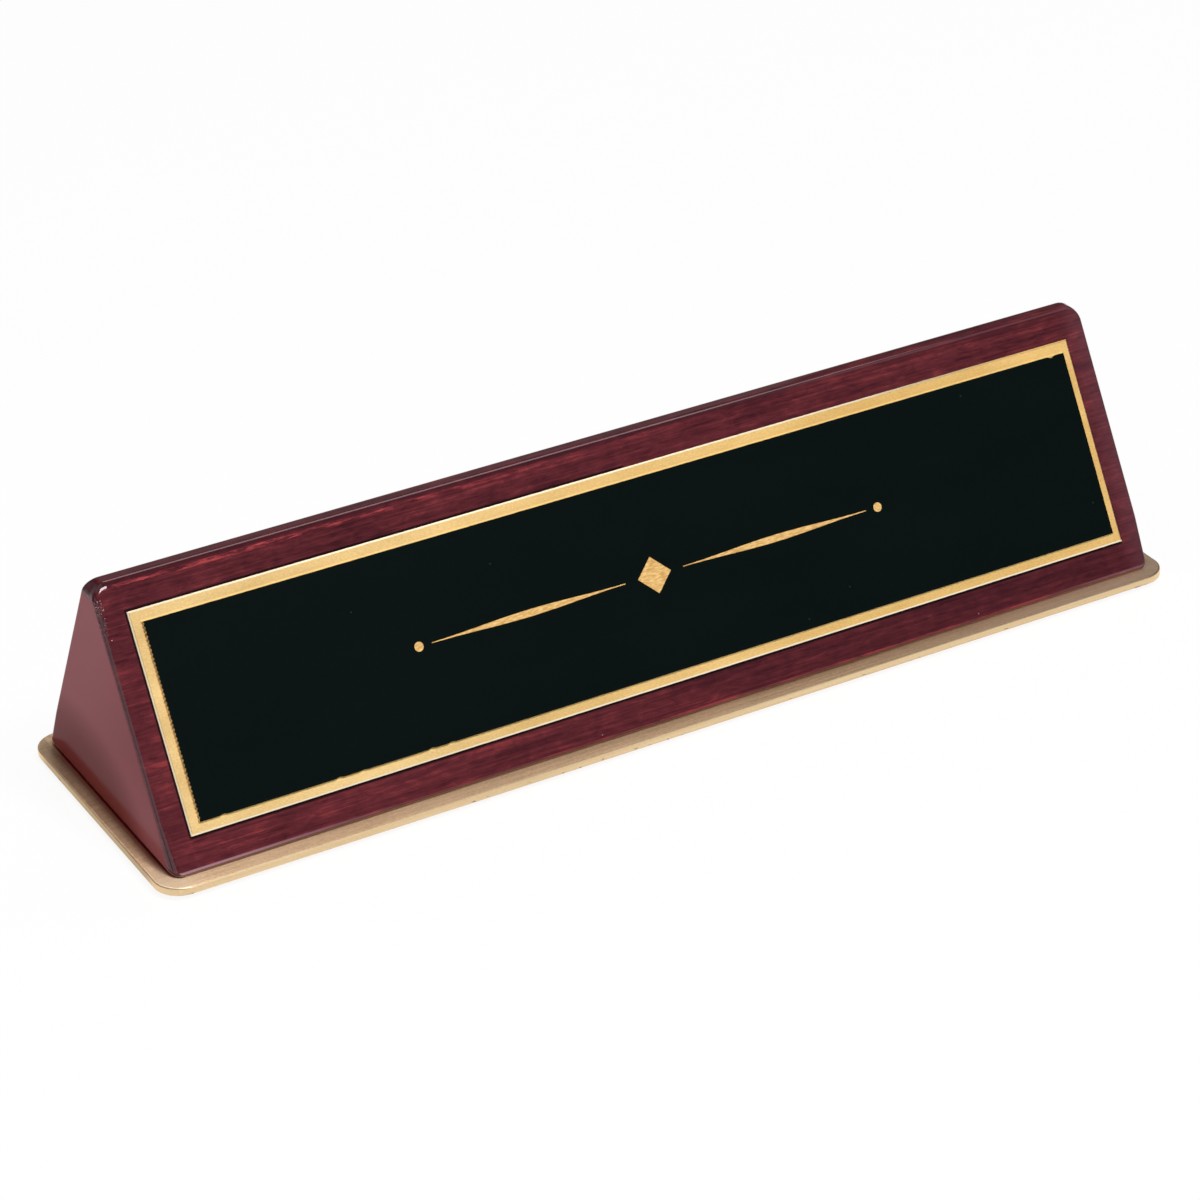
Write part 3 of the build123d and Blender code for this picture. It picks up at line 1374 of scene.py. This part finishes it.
@dataclass(frozen=True)
class RimPoint:
    """A point on a sheet's rim, in the slope's flat coordinates, with the bevel that starts there."""

    place: Vector
    inward: Vector
    inset: Vector
    drop: float


@dataclass
class FrontPlates:
    """The border plate, the black plate on it and the films that hold them."""

    slope: Slope
    border_length: float
    name_length: float
    border_height: float = 50.78 * MM
    border_rise: float = 8.7 * MM
    border_level: float = 0.15 * MM
    name_height: float = 45.38 * MM
    name_rise: float = 11.2 * MM
    name_level: float = 0.95 * MM
    thickness: float = 0.65 * MM
    border_bevel: float = 0.42 * MM
    name_bevel: float = 0.08 * MM
    bevel_drops: tuple[float, ...] = (0.55, 1.0, 1.0, 0.9)
    burr_spacing: float = 0.6 * MM
    burr_depth: float = 0.03 * MM
    saw_pitch: float = 1.0 * MM
    saw_depth: float = 0.32 * MM
    nick_half_width: float = 0.9 * MM
    name_nicks: tuple[tuple[Side, float, float], ...] = (
        (Side.LOWER, 5.8 * MM, 0.3 * MM),
        (Side.LOWER, 34 * MM, 0.3 * MM),
        (Side.LOWER, 40 * MM, 0.22 * MM),
        (Side.LOWER, 57 * MM, 0.3 * MM),
        (Side.LOWER, 62 * MM, 0.25 * MM),
        (Side.UPPER, 3.7 * MM, 0.5 * MM),
    )
    engraving_depth: float = 0.1 * MM
    engraving_wall: float = 0.07 * MM
    coat_thickness: float = 0.03 * MM
    seed: int = 7

    @classmethod
    def from_frame(cls, slope: Slope) -> "FrontPlates":
        """Takes the plates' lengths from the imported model.

        Args:
            slope: The face that they lie on.

        Returns:
            The plates.
        """
        border_low, border_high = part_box("border_plate")
        name_low, name_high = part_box("name_plate")
        return cls(slope, border_high.x - border_low.x, name_high.x - name_low.x)

    def rim(
        self,
        length: float,
        height: float,
        rise: float,
        bevel: float,
        saw_depth: float,
        nicks: Sequence[tuple[Side, float, float]],
        chance: random.Random,
    ) -> list[RimPoint]:
        """Goes once round a sheared sheet whose edges were then filed, the lower one at a flatter angle.

        Args:
            length: The sheet's length along the block.
            height: Its height up the slope.
            rise: How far up the slope its lower edge lies.
            bevel: How wide the filed edge is, as seen from the front.
            saw_depth: How deep the saw's teeth bit into the left edge.
            nicks: The side, the distance along it and the depth of each nick.
            chance: Where the burrs come from.

        Returns:
            The points. Each corner has two, one for each of its sides. Burrs and nicks only reach into the
            sheet.
        """
        half = length / 2
        corners = [(-half, rise), (half, rise), (half, rise + height), (-half, rise + height)]
        inward = [(0, 1), (-1, 0), (0, -1), (1, 0)]
        points = []
        for here, (x, y) in enumerate(corners):
            end = Vector(corners[(here + 1) % len(corners)])
            start = Vector((x, y))
            side_in = Vector(inward[here])
            last_in = Vector(inward[here - 1])
            drop = self.bevel_drops[here] * bevel
            corner_drop = min(drop, self.bevel_drops[here - 1] * bevel)
            corner_inset = (last_in + side_in) * bevel
            points.append(RimPoint(start, last_in, corner_inset, corner_drop))
            points.append(RimPoint(start, side_in, corner_inset, corner_drop))
            sawn = saw_depth if here == Side.LEFT else 0
            spacing = self.saw_pitch / 2 if sawn else self.burr_spacing
            count = round((end - start).length / spacing)
            for step in range(1, count):
                place = start.lerp(end, step / count)
                reach = self.burr_depth * chance.random() + sawn * (step % 2)
                for side, along, depth in nicks:
                    off = abs((place - start).length - along) / self.nick_half_width
                    if side == here and off < 1:
                        reach += depth * (1 - off)
                place += side_in * reach
                points.append(RimPoint(place, side_in, side_in * bevel, drop))
        return points

    def sheet(self, shell: Shell, rim: Sequence[RimPoint], level: float) -> list[Vector]:
        """Adds the back, the cut sides and the bevelled rim of a sheet.

        Args:
            shell: The mesh that they are added to.
            rim: The points round the sheet.
            level: How far its back lies from the wood.

        Returns:
            The rim of the front face, which is left open.
        """
        slope = self.slope
        outward = slope.outward
        top = level + self.thickness
        rings = [[], [], [], []]
        for point in rim:
            side = -(Vector((point.inward.x, 0, 0)) + slope.upward * point.inward.y)
            facet = (side * point.drop + outward * abs(point.inset.dot(point.inward))).normalized()
            kept = point.place + point.inset
            back = slope.point(point.place.x, point.place.y, level)
            knee = slope.point(point.place.x, point.place.y, top - point.drop)
            crest = slope.point(kept.x, kept.y, top)
            for ring, corner in zip(rings, ((back, side), (knee, side), (knee, facet), (crest, facet))):
                ring.append(corner)
        shell.bridge(rings)
        shell.cap([places_of(rings[0])], -outward)
        crests = places_of(rings[-1])
        return [place for here, place in enumerate(crests) if place != crests[here - 1]]

    def divider(self) -> list[list[Vector]]:
        """Draws a plain divider, the same on both sides: a lozenge between two swelled rules and two dots.

        Returns:
            The closed outlines, in the slope's own flat coordinates, all in the same turn.
        """
        lozenge = 4.4 * MM
        gap = 3.2 * MM
        rule_length = 50 * MM
        rule_half = 0.85 * MM
        rule_tip = 0.14 * MM
        rule_steps = 48
        dot_radius = 1.15 * MM
        dot_steps = 24
        middle = Vector((0, self.name_rise + self.name_height / 2))
        points = ((lozenge, 0), (0, lozenge), (-lozenge, 0), (0, -lozenge))
        outlines = [[middle + Vector(point) for point in points]]
        inner = lozenge + gap
        for side in (-1, 1):
            upper = []
            lower = []
            for step in range(rule_steps + 1):
                share = step / rule_steps
                half = rule_tip + (rule_half - rule_tip) * math.sin(math.pi * share) ** 2
                x = inner + rule_length * (share if side > 0 else 1 - share)
                lower.append(middle + Vector((side * x, -half)))
                upper.append(middle + Vector((side * x, half)))
            outlines.append(lower + upper[::-1])
            centre = middle + Vector((side * (inner + rule_length + gap), 0))
            dot = []
            for step in range(dot_steps):
                turn = math.tau * step / dot_steps
                dot.append(centre + dot_radius * Vector((math.cos(turn), math.sin(turn))))
            outlines.append(dot)
        return outlines

    def engrave(self, shell: Shell, outline: Sequence[Vector], level: float) -> list[Vector]:
        """Adds the sloping walls and the floor of one engraved outline.

        Args:
            shell: The mesh that they are added to.
            outline: The outline, turning left.
            level: How far the engraved face lies from the wood.

        Returns:
            The rim of the cut, in space.
        """
        slope = self.slope
        upper = []
        lower = []
        count = len(outline)
        for here, place in enumerate(outline):
            before = (place - outline[here - 1]).normalized()
            after = (outline[(here + 1) % count] - place).normalized()
            first = Vector((-before.y, before.x))
            second = Vector((-after.y, after.x))
            inward = (first + second) / (1 + first.dot(second))
            sunk = place + inward * self.engraving_wall
            across = (Vector((inward.x, 0, 0)) + slope.upward * inward.y).normalized()
            normal = (across * self.engraving_depth + slope.outward * self.engraving_wall).normalized()
            upper.append((slope.point(place.x, place.y, level), normal))
            lower.append((slope.point(sunk.x, sunk.y, level - self.engraving_depth), normal))
        shell.bridge([upper, lower])
        shell.cap([places_of(lower)], slope.outward)
        return places_of(upper)

    def build_border(self) -> bpy.types.Object:
        """Makes the border plate, without its finish."""
        shell = Shell()
        rim = self.rim(
            self.border_length,
            self.border_height,
            self.border_rise,
            self.border_bevel,
            saw_depth=0,
            nicks=(),
            chance=random.Random(self.seed),
        )
        front = self.sheet(shell, rim, self.border_level)
        shell.cap([front], self.slope.outward)
        return shell.build("border_sheet")

    def build_name(self) -> bpy.types.Object:
        """Makes the black plate with its engraved divider, without its finish."""
        shell = Shell()
        rim = self.rim(
            self.name_length,
            self.name_height,
            self.name_rise,
            self.name_bevel,
            self.saw_depth,
            self.name_nicks,
            chance=random.Random(self.seed + 1),
        )
        front = self.sheet(shell, rim, self.name_level)
        level = self.name_level + self.thickness
        cuts = [self.engrave(shell, outline, level) for outline in self.divider()]
        shell.cap([front, *cuts], self.slope.outward)
        return shell.build("black_plate")

    def dress(self, border: bpy.types.Object, name: bpy.types.Object) -> None:
        """Gives both plates and the films their finishes and enters the plates in the frame.

        Args:
            border: The border plate.
            name: The black plate.
        """
        foot = self.slope.foot.dot(self.slope.upward)
        low_rise = foot + self.border_rise
        brass = SatinBrass(
            half_length=self.border_length / 2 / MM,
            upward=self.slope.upward,
            low_rise=low_rise / MM,
            high_rise=(low_rise + self.border_height) / MM,
            name_half_length=self.name_length / 2 / MM,
            name_low_rise=(foot + self.name_rise) / MM,
            name_high_rise=(foot + self.name_rise + self.name_height) / MM,
        )
        enrol(border, Slot.BORDER, brass.material(), "border_plate")
        outward = self.slope.outward
        top = self.slope.point(0, 0, self.name_level + self.thickness - self.coat_thickness)
        coat = BlackCoat(outward=outward, coat_level=top.dot(outward) / MM)
        enrol(name, Slot.PLATE, coat.material(), "name_plate")
        film = AdhesiveFilm().material()
        for node in ("border_plate_tape", "name_plate_tape"):
            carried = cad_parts[node]
            carried.data.materials.clear()
            carried.data.materials.append(film)
            LOG.info("%s: carried over with its own film", node)


class GeometryGraph(Graph):
    """A Geometry Nodes tree with named sizes, which ends as a plain mesh."""

    # Edges that turn by more than this stay sharp
    SHARP_ANGLE = math.radians(35)

    def __init__(self, name: str, sizes: dict[str, float | int]) -> None:
        """Starts a tree.

        Args:
            name: The tree's name.
            sizes: The name and value of each of its inputs. A whole number makes a whole-number input.
        """
        super().__init__(bpy.data.node_groups.new(name, "GeometryNodeTree"))
        self.sizes = sizes
        self.identifiers = {}
        interface = self.tree.interface
        interface.new_socket("Geometry", in_out="OUTPUT", socket_type="NodeSocketGeometry")
        for label, value in sizes.items():
            kind = "NodeSocketInt" if isinstance(value, int) else "NodeSocketFloat"
            socket = interface.new_socket(label, in_out="INPUT", socket_type=kind)
            self.identifiers[label] = socket.identifier
        self.entry = self.node("NodeGroupInput")

    def size(self, label: str) -> Wire:
        """Returns one of the tree's inputs."""
        return self.entry.beside(label)

    def build(self, geometry: Wire, finish: bpy.types.Material, piece_name: str) -> bpy.types.Object:
        """Ends the tree and turns its result into a mesh.

        Args:
            geometry: What the tree has made, instances among it.
            finish: The material that it gets.
            piece_name: The piece's name.

        Returns:
            The piece, with no modifier left on it.
        """
        solid = self.node("GeometryNodeRealizeInstances", sockets={"Geometry": geometry})
        smooth = self.node("GeometryNodeSetShadeSmooth", sockets={"Geometry": solid})
        dressed = self.node("GeometryNodeSetMaterial", sockets={"Geometry": smooth, "Material": finish})
        self.node("NodeGroupOutput", sockets={"Geometry": dressed})
        piece = bpy.data.objects.new(piece_name, bpy.data.meshes.new(piece_name + "_start"))
        modifier = piece.modifiers.new(self.tree.name, "NODES")
        modifier.node_group = self.tree
        for label, value in self.sizes.items():
            modifier[self.identifiers[label]] = value
        bpy.context.scene.collection.objects.link(piece)
        bpy.context.view_layer.update()
        evaluated = piece.evaluated_get(bpy.context.evaluated_depsgraph_get())
        mesh = bpy.data.meshes.new_from_object(evaluated)
        piece.modifiers.remove(modifier)
        piece.data = mesh
        mesh.name = piece_name
        mesh.set_sharp_from_angle(angle=self.SHARP_ANGLE)
        return piece


@dataclass
class BaseScrews:
    """The two screws under the base plate, with a cross recess and a turned thread."""

    screw: Screw
    block_length: float
    bottom: float
    thread_pitch: float = 1.1 * MM
    thread_depth: float = 0.22 * MM
    thread_start: float = 0.6 * MM
    recess_span: float = 2.8 * MM
    recess_arm: float = 0.7 * MM
    recess_depth: float = 0.9 * MM
    steps_round: int = 48
    steps_along: int = 128

    def build(self, finish: bpy.types.Material) -> bpy.types.Object:
        """Makes both screws in one tree: a cylinder whose radius follows the screw's outline and thread.

        Args:
            finish: The screws' material.

        Returns:
            The piece.
        """
        screw = self.screw
        first, second = screw.places(self.block_length, self.bottom)
        graph = GeometryGraph("Base screws", {
            "Length": screw.length,
            "Head Radius": screw.head_radius,
            "Head Height": screw.head_height,
            "Shank Radius": screw.shank_radius,
            "Tip Length": screw.tip_length,
            "Tip Radius": screw.tip_radius,
            "Thread Pitch": self.thread_pitch,
            "Thread Depth": self.thread_depth,
            "Recess Span": self.recess_span,
            "Recess Arm": self.recess_arm,
            "Recess Depth": self.recess_depth,
            "Steps Round": self.steps_round,
            "Steps Along": self.steps_along,
            "First Place": first.x,
            "Spacing": second.x - first.x,
            "Bottom": self.bottom,
        })
        turned = self.turned(graph)
        cut = self.recessed(graph, turned)
        start = graph.join(graph.size("First Place"), 0.0, graph.size("Bottom"))
        offset = graph.join(graph.size("Spacing"), 0.0, 0.0)
        row = {"Count": 2, "Start Location": start, "Offset": offset}
        places = graph.node("GeometryNodeMeshLine", sockets=row)
        screws = graph.node("GeometryNodeInstanceOnPoints", sockets={"Points": places, "Instance": cut})
        return graph.build(screws, finish, "countersunk_screws")

    def turned(self, graph: GeometryGraph) -> Wire:
        """Adds the turned and threaded form of one screw, point up from the origin.

        Args:
            graph: The tree that it is added to.

        Returns:
            The geometry.
        """
        length = graph.size("Length")
        rod = graph.node("GeometryNodeMeshCylinder", sockets={
            "Vertices": graph.size("Steps Round"),
            "Side Segments": graph.size("Steps Along"),
            "Radius": 1.0,
            "Depth": length,
        })
        x, y, z = graph.axes(graph.node("GeometryNodeInputPosition"))
        height = z + length / 2
        shank = graph.size("Shank Radius")
        head = graph.size("Head Radius")
        taper = (head - shank) / graph.size("Head Height")
        tip = graph.size("Tip Radius")
        sharpening = (shank - tip) / graph.size("Tip Length")
        plain = (head - height * taper).at_least(shank).at_most(tip + (length - height) * sharpening)
        turn = graph.math("ARCTAN2", y, x) / math.tau
        wave = graph.math("PINGPONG", turn + height / graph.size("Thread Pitch"), 0.5) * 2
        threaded = (height - graph.size("Head Height") * 2).fade(0.0, self.thread_start)
        radius = plain - graph.size("Thread Depth") * (1 - wave) * threaded * (plain / shank).at_most(1.0)
        place = graph.join(x * radius, y * radius, height)
        return graph.node("GeometryNodeSetPosition", sockets={"Geometry": rod, "Position": place})

    def recessed(self, graph: GeometryGraph, turned: Wire) -> Wire:
        """Cuts the cross recess into a screw's head.

        Args:
            graph: The tree that it is added to.
            turned: The screw.

        Returns:
            The cut geometry.
        """
        span = graph.size("Recess Span")
        arm = graph.size("Recess Arm")
        depth = graph.size("Recess Depth") * 2
        bars = []
        for wide, deep in ((span, arm), (arm, span)):
            bars.append(graph.node("GeometryNodeMeshCube", sockets={"Size": graph.join(wide, deep, depth)}))
        settings = {"operation": "DIFFERENCE", "solver": "EXACT"}
        return graph.node("GeometryNodeMeshBoolean", settings, {"Mesh 1": turned, "Mesh 2": bars})


@dataclass
class FeltFeet:
    """The four felt pads under the base plate."""

    spacing_x: float
    spacing_y: float
    diameter: float
    height: float
    edge_radius: float = 0.3 * MM
    fuzz: float = 0.12 * MM
    fuzz_size: float = 0.5 * MM
    seed: int = 3
    steps_round: int = 120
    steps_along: int = 10
    steps_across: int = 14

    @classmethod
    def from_frame(cls) -> "FeltFeet":
        """Takes the pads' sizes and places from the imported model."""
        low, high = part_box("foot_front_left")
        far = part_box("foot_rear_right")[1]
        return cls(far.x - high.x, far.y - high.y, high.x - low.x, high.z - low.z)

    def build(self, finish: bpy.types.Material) -> bpy.types.Object:
        """Makes the pads in one tree: cylinders with a rounded tread and uneven, matted sides.

        Args:
            finish: The felt.

        Returns:
            The piece.
        """
        graph = GeometryGraph("Felt feet", {
            "Spacing X": self.spacing_x,
            "Spacing Y": self.spacing_y,
            "Radius": self.diameter / 2,
            "Height": self.height,
            "Edge Radius": self.edge_radius,
            "Fuzz": self.fuzz,
            "Seed": self.seed,
        })
        height = graph.size("Height")
        pad = graph.node("GeometryNodeMeshCylinder", sockets={
            "Vertices": self.steps_round,
            "Side Segments": self.steps_along,
            "Fill Segments": self.steps_across,
            "Radius": graph.size("Radius"),
            "Depth": height,
        })
        position = graph.node("GeometryNodeInputPosition")
        x, y, z = graph.axes(position)
        lifted = z + height / 2
        edge = graph.size("Edge Radius")
        short = (edge - lifted).at_least(0.0)
        inset = edge - (edge * edge - short * short) ** 0.5
        kept = 1 - inset / graph.size("Radius")
        shaped = graph.join(x * kept, y * kept, lifted)
        rounded = graph.node("GeometryNodeSetPosition", sockets={"Geometry": pad, "Position": shaped})
        grid = {
            "Size X": graph.size("Spacing X"),
            "Size Y": graph.size("Spacing Y"),
            "Vertices X": 2,
            "Vertices Y": 2,
        }
        places = graph.node("GeometryNodeMeshGrid", sockets=grid)
        pads = graph.node("GeometryNodeInstanceOnPoints", sockets={"Points": places, "Instance": rounded})
        solid = graph.node("GeometryNodeRealizeInstances", sockets={"Geometry": pads})
        cell = {"Vector": position, "Scale": 1 / self.fuzz_size, "Detail": 3.0, "W": graph.size("Seed")}
        matted = graph.node("ShaderNodeTexNoise", {"noise_dimensions": "4D"}, cell)
        normal = graph.node("GeometryNodeInputNormal")
        flat = graph.vector("MULTIPLY", {0: normal, 1: (1.0, 1.0, 0.0)})
        push = matted * graph.size("Fuzz") * -1
        offset = graph.vector("SCALE", {"Vector": flat, "Scale": push})
        fuzzy = graph.node("GeometryNodeSetPosition", sockets={"Geometry": solid, "Offset": offset})
        return graph.build(fuzzy, finish, "felt_feet")


# Studio and camera


@dataclass(frozen=True)
class Softbox:
    """A soft studio lamp that looks at the object."""

    name: str
    place: tuple[float, float, float]
    width: float
    height: float
    power: float

    def build(self) -> None:
        """Puts the lamp in the scene. It shows in reflections, but not in the picture."""
        light = bpy.data.lights.new(self.name, "AREA")
        light.shape = "RECTANGLE"
        light.size = self.width
        light.size_y = self.height
        light.energy = self.power
        lamp = bpy.data.objects.new(self.name, light)
        lamp.location = self.place
        lamp.rotation_euler = Vector(self.place).to_track_quat("Z", "Y").to_euler()
        lamp.visible_camera = False
        bpy.context.scene.collection.objects.link(lamp)


@dataclass(frozen=True)
class Studio:
    """A pale floor, a dim room and the lamps."""

    floor_half: float = 6.0
    room_level: float = 0.07
    lamps: tuple[Softbox, ...] = (
        Softbox("front_softbox", (0.0, -1.65, 2.5), 1.47, 1.1, 86.0),
        Softbox("rear_panel", (0.56, 1.8, 0.95), 1.05, 0.7, 0.41),
        Softbox("ridge_strip", (0.53, 0.72, 1.42), 0.8, 0.35, 2.3),
        Softbox("left_panel", (-1.7, -0.9, 0.6), 1.6, 0.9, 4.0),
        Softbox("left_rear_panel", (-1.2, 1.3, 0.8), 1.4, 1.6, 3.2),
        Softbox("upper_left_panel", (-0.9, 0.1, 2.0), 1.6, 1.6, 4.2),
    )

    def build(self) -> None:
        """Makes the floor, the room's light and the lamps."""
        half = self.floor_half
        mesh = bpy.data.meshes.new("floor")
        corners = [(-half, -half, 0), (half, -half, 0), (half, half, 0), (-half, half, 0)]
        mesh.from_pydata(corners, [], [(0, 1, 2, 3)])
        floor = bpy.data.objects.new("floor", mesh)
        mesh.materials.append(StudioPaper().material())
        bpy.context.scene.collection.objects.link(floor)
        world = bpy.data.worlds.new("room")
        world.use_nodes = True
        shade = (self.room_level, self.room_level, self.room_level, 1.0)
        world.node_tree.nodes["Background"].inputs["Color"].default_value = shade
        scene = bpy.context.scene
        scene.world = world
        scene.view_settings.view_transform = "Standard"
        for lamp in self.lamps:
            lamp.build()


@dataclass(frozen=True)
class PhotoCamera:
    """A camera at the photograph's viewing angle, in degrees and metres."""

    azimuth: float = -28.56
    elevation: float = 29.31
    roll: float = -2.06
    distance: float = 0.9664
    slide_right: float = -3.71 * MM
    slide_up: float = 14.23 * MM
    pivot_height: float = 1.5 * MM
    focal_length: float = 122.4
    sensor: float = 36.0

    def build(self) -> None:
        """Puts the camera in the scene and makes it the active one."""
        turn = math.radians(self.azimuth)
        lift = math.radians(self.elevation)
        lean = math.radians(self.roll)
        back = Vector((math.sin(turn) * math.cos(lift), -math.cos(turn) * math.cos(lift), math.sin(lift)))
        level = Vector((math.cos(turn), math.sin(turn), 0))
        upright = back.cross(level)
        right = level * math.cos(lean) + upright * math.sin(lean)
        top = upright * math.cos(lean) - level * math.sin(lean)
        place = UP * self.pivot_height + back * self.distance
        place += right * self.slide_right + top * self.slide_up
        data = bpy.data.cameras.new("photo_camera")
        data.lens = self.focal_length
        data.sensor_width = self.sensor
        camera = bpy.data.objects.new("photo_camera", data)
        turned = Matrix((right, top, back)).transposed().to_4x4()
        camera.matrix_world = Matrix.Translation(place) @ turned
        bpy.context.scene.collection.objects.link(camera)
        bpy.context.scene.camera = camera


def main() -> None:
    """Builds and dresses each sub-assembly in turn, and then the studio and the camera."""
    logging.basicConfig(level=logging.INFO, format="%(name)s: %(message)s")
    screw = Screw()
    block = WoodBlock.from_frame(screw)
    block.dress(block.build())
    base = BasePlate.from_frame(screw, block)
    base.dress(base.build())
    plates = FrontPlates.from_frame(block.slope)
    plates.dress(plates.build_border(), plates.build_name())
    steel = ZincSteel().material()
    enrol(BaseScrews(screw, block.length, base.bottom).build(steel), Slot.SCREW, steel, "base_screws")
    felt = PressedFelt().material()
    feet = ("foot_front_left", "foot_front_right", "foot_rear_left", "foot_rear_right")
    enrol(FeltFeet.from_frame().build(felt), Slot.FOOT, felt, *feet)
    Studio().build()
    PhotoCamera().build()


if __name__ == "__main__":
    main()
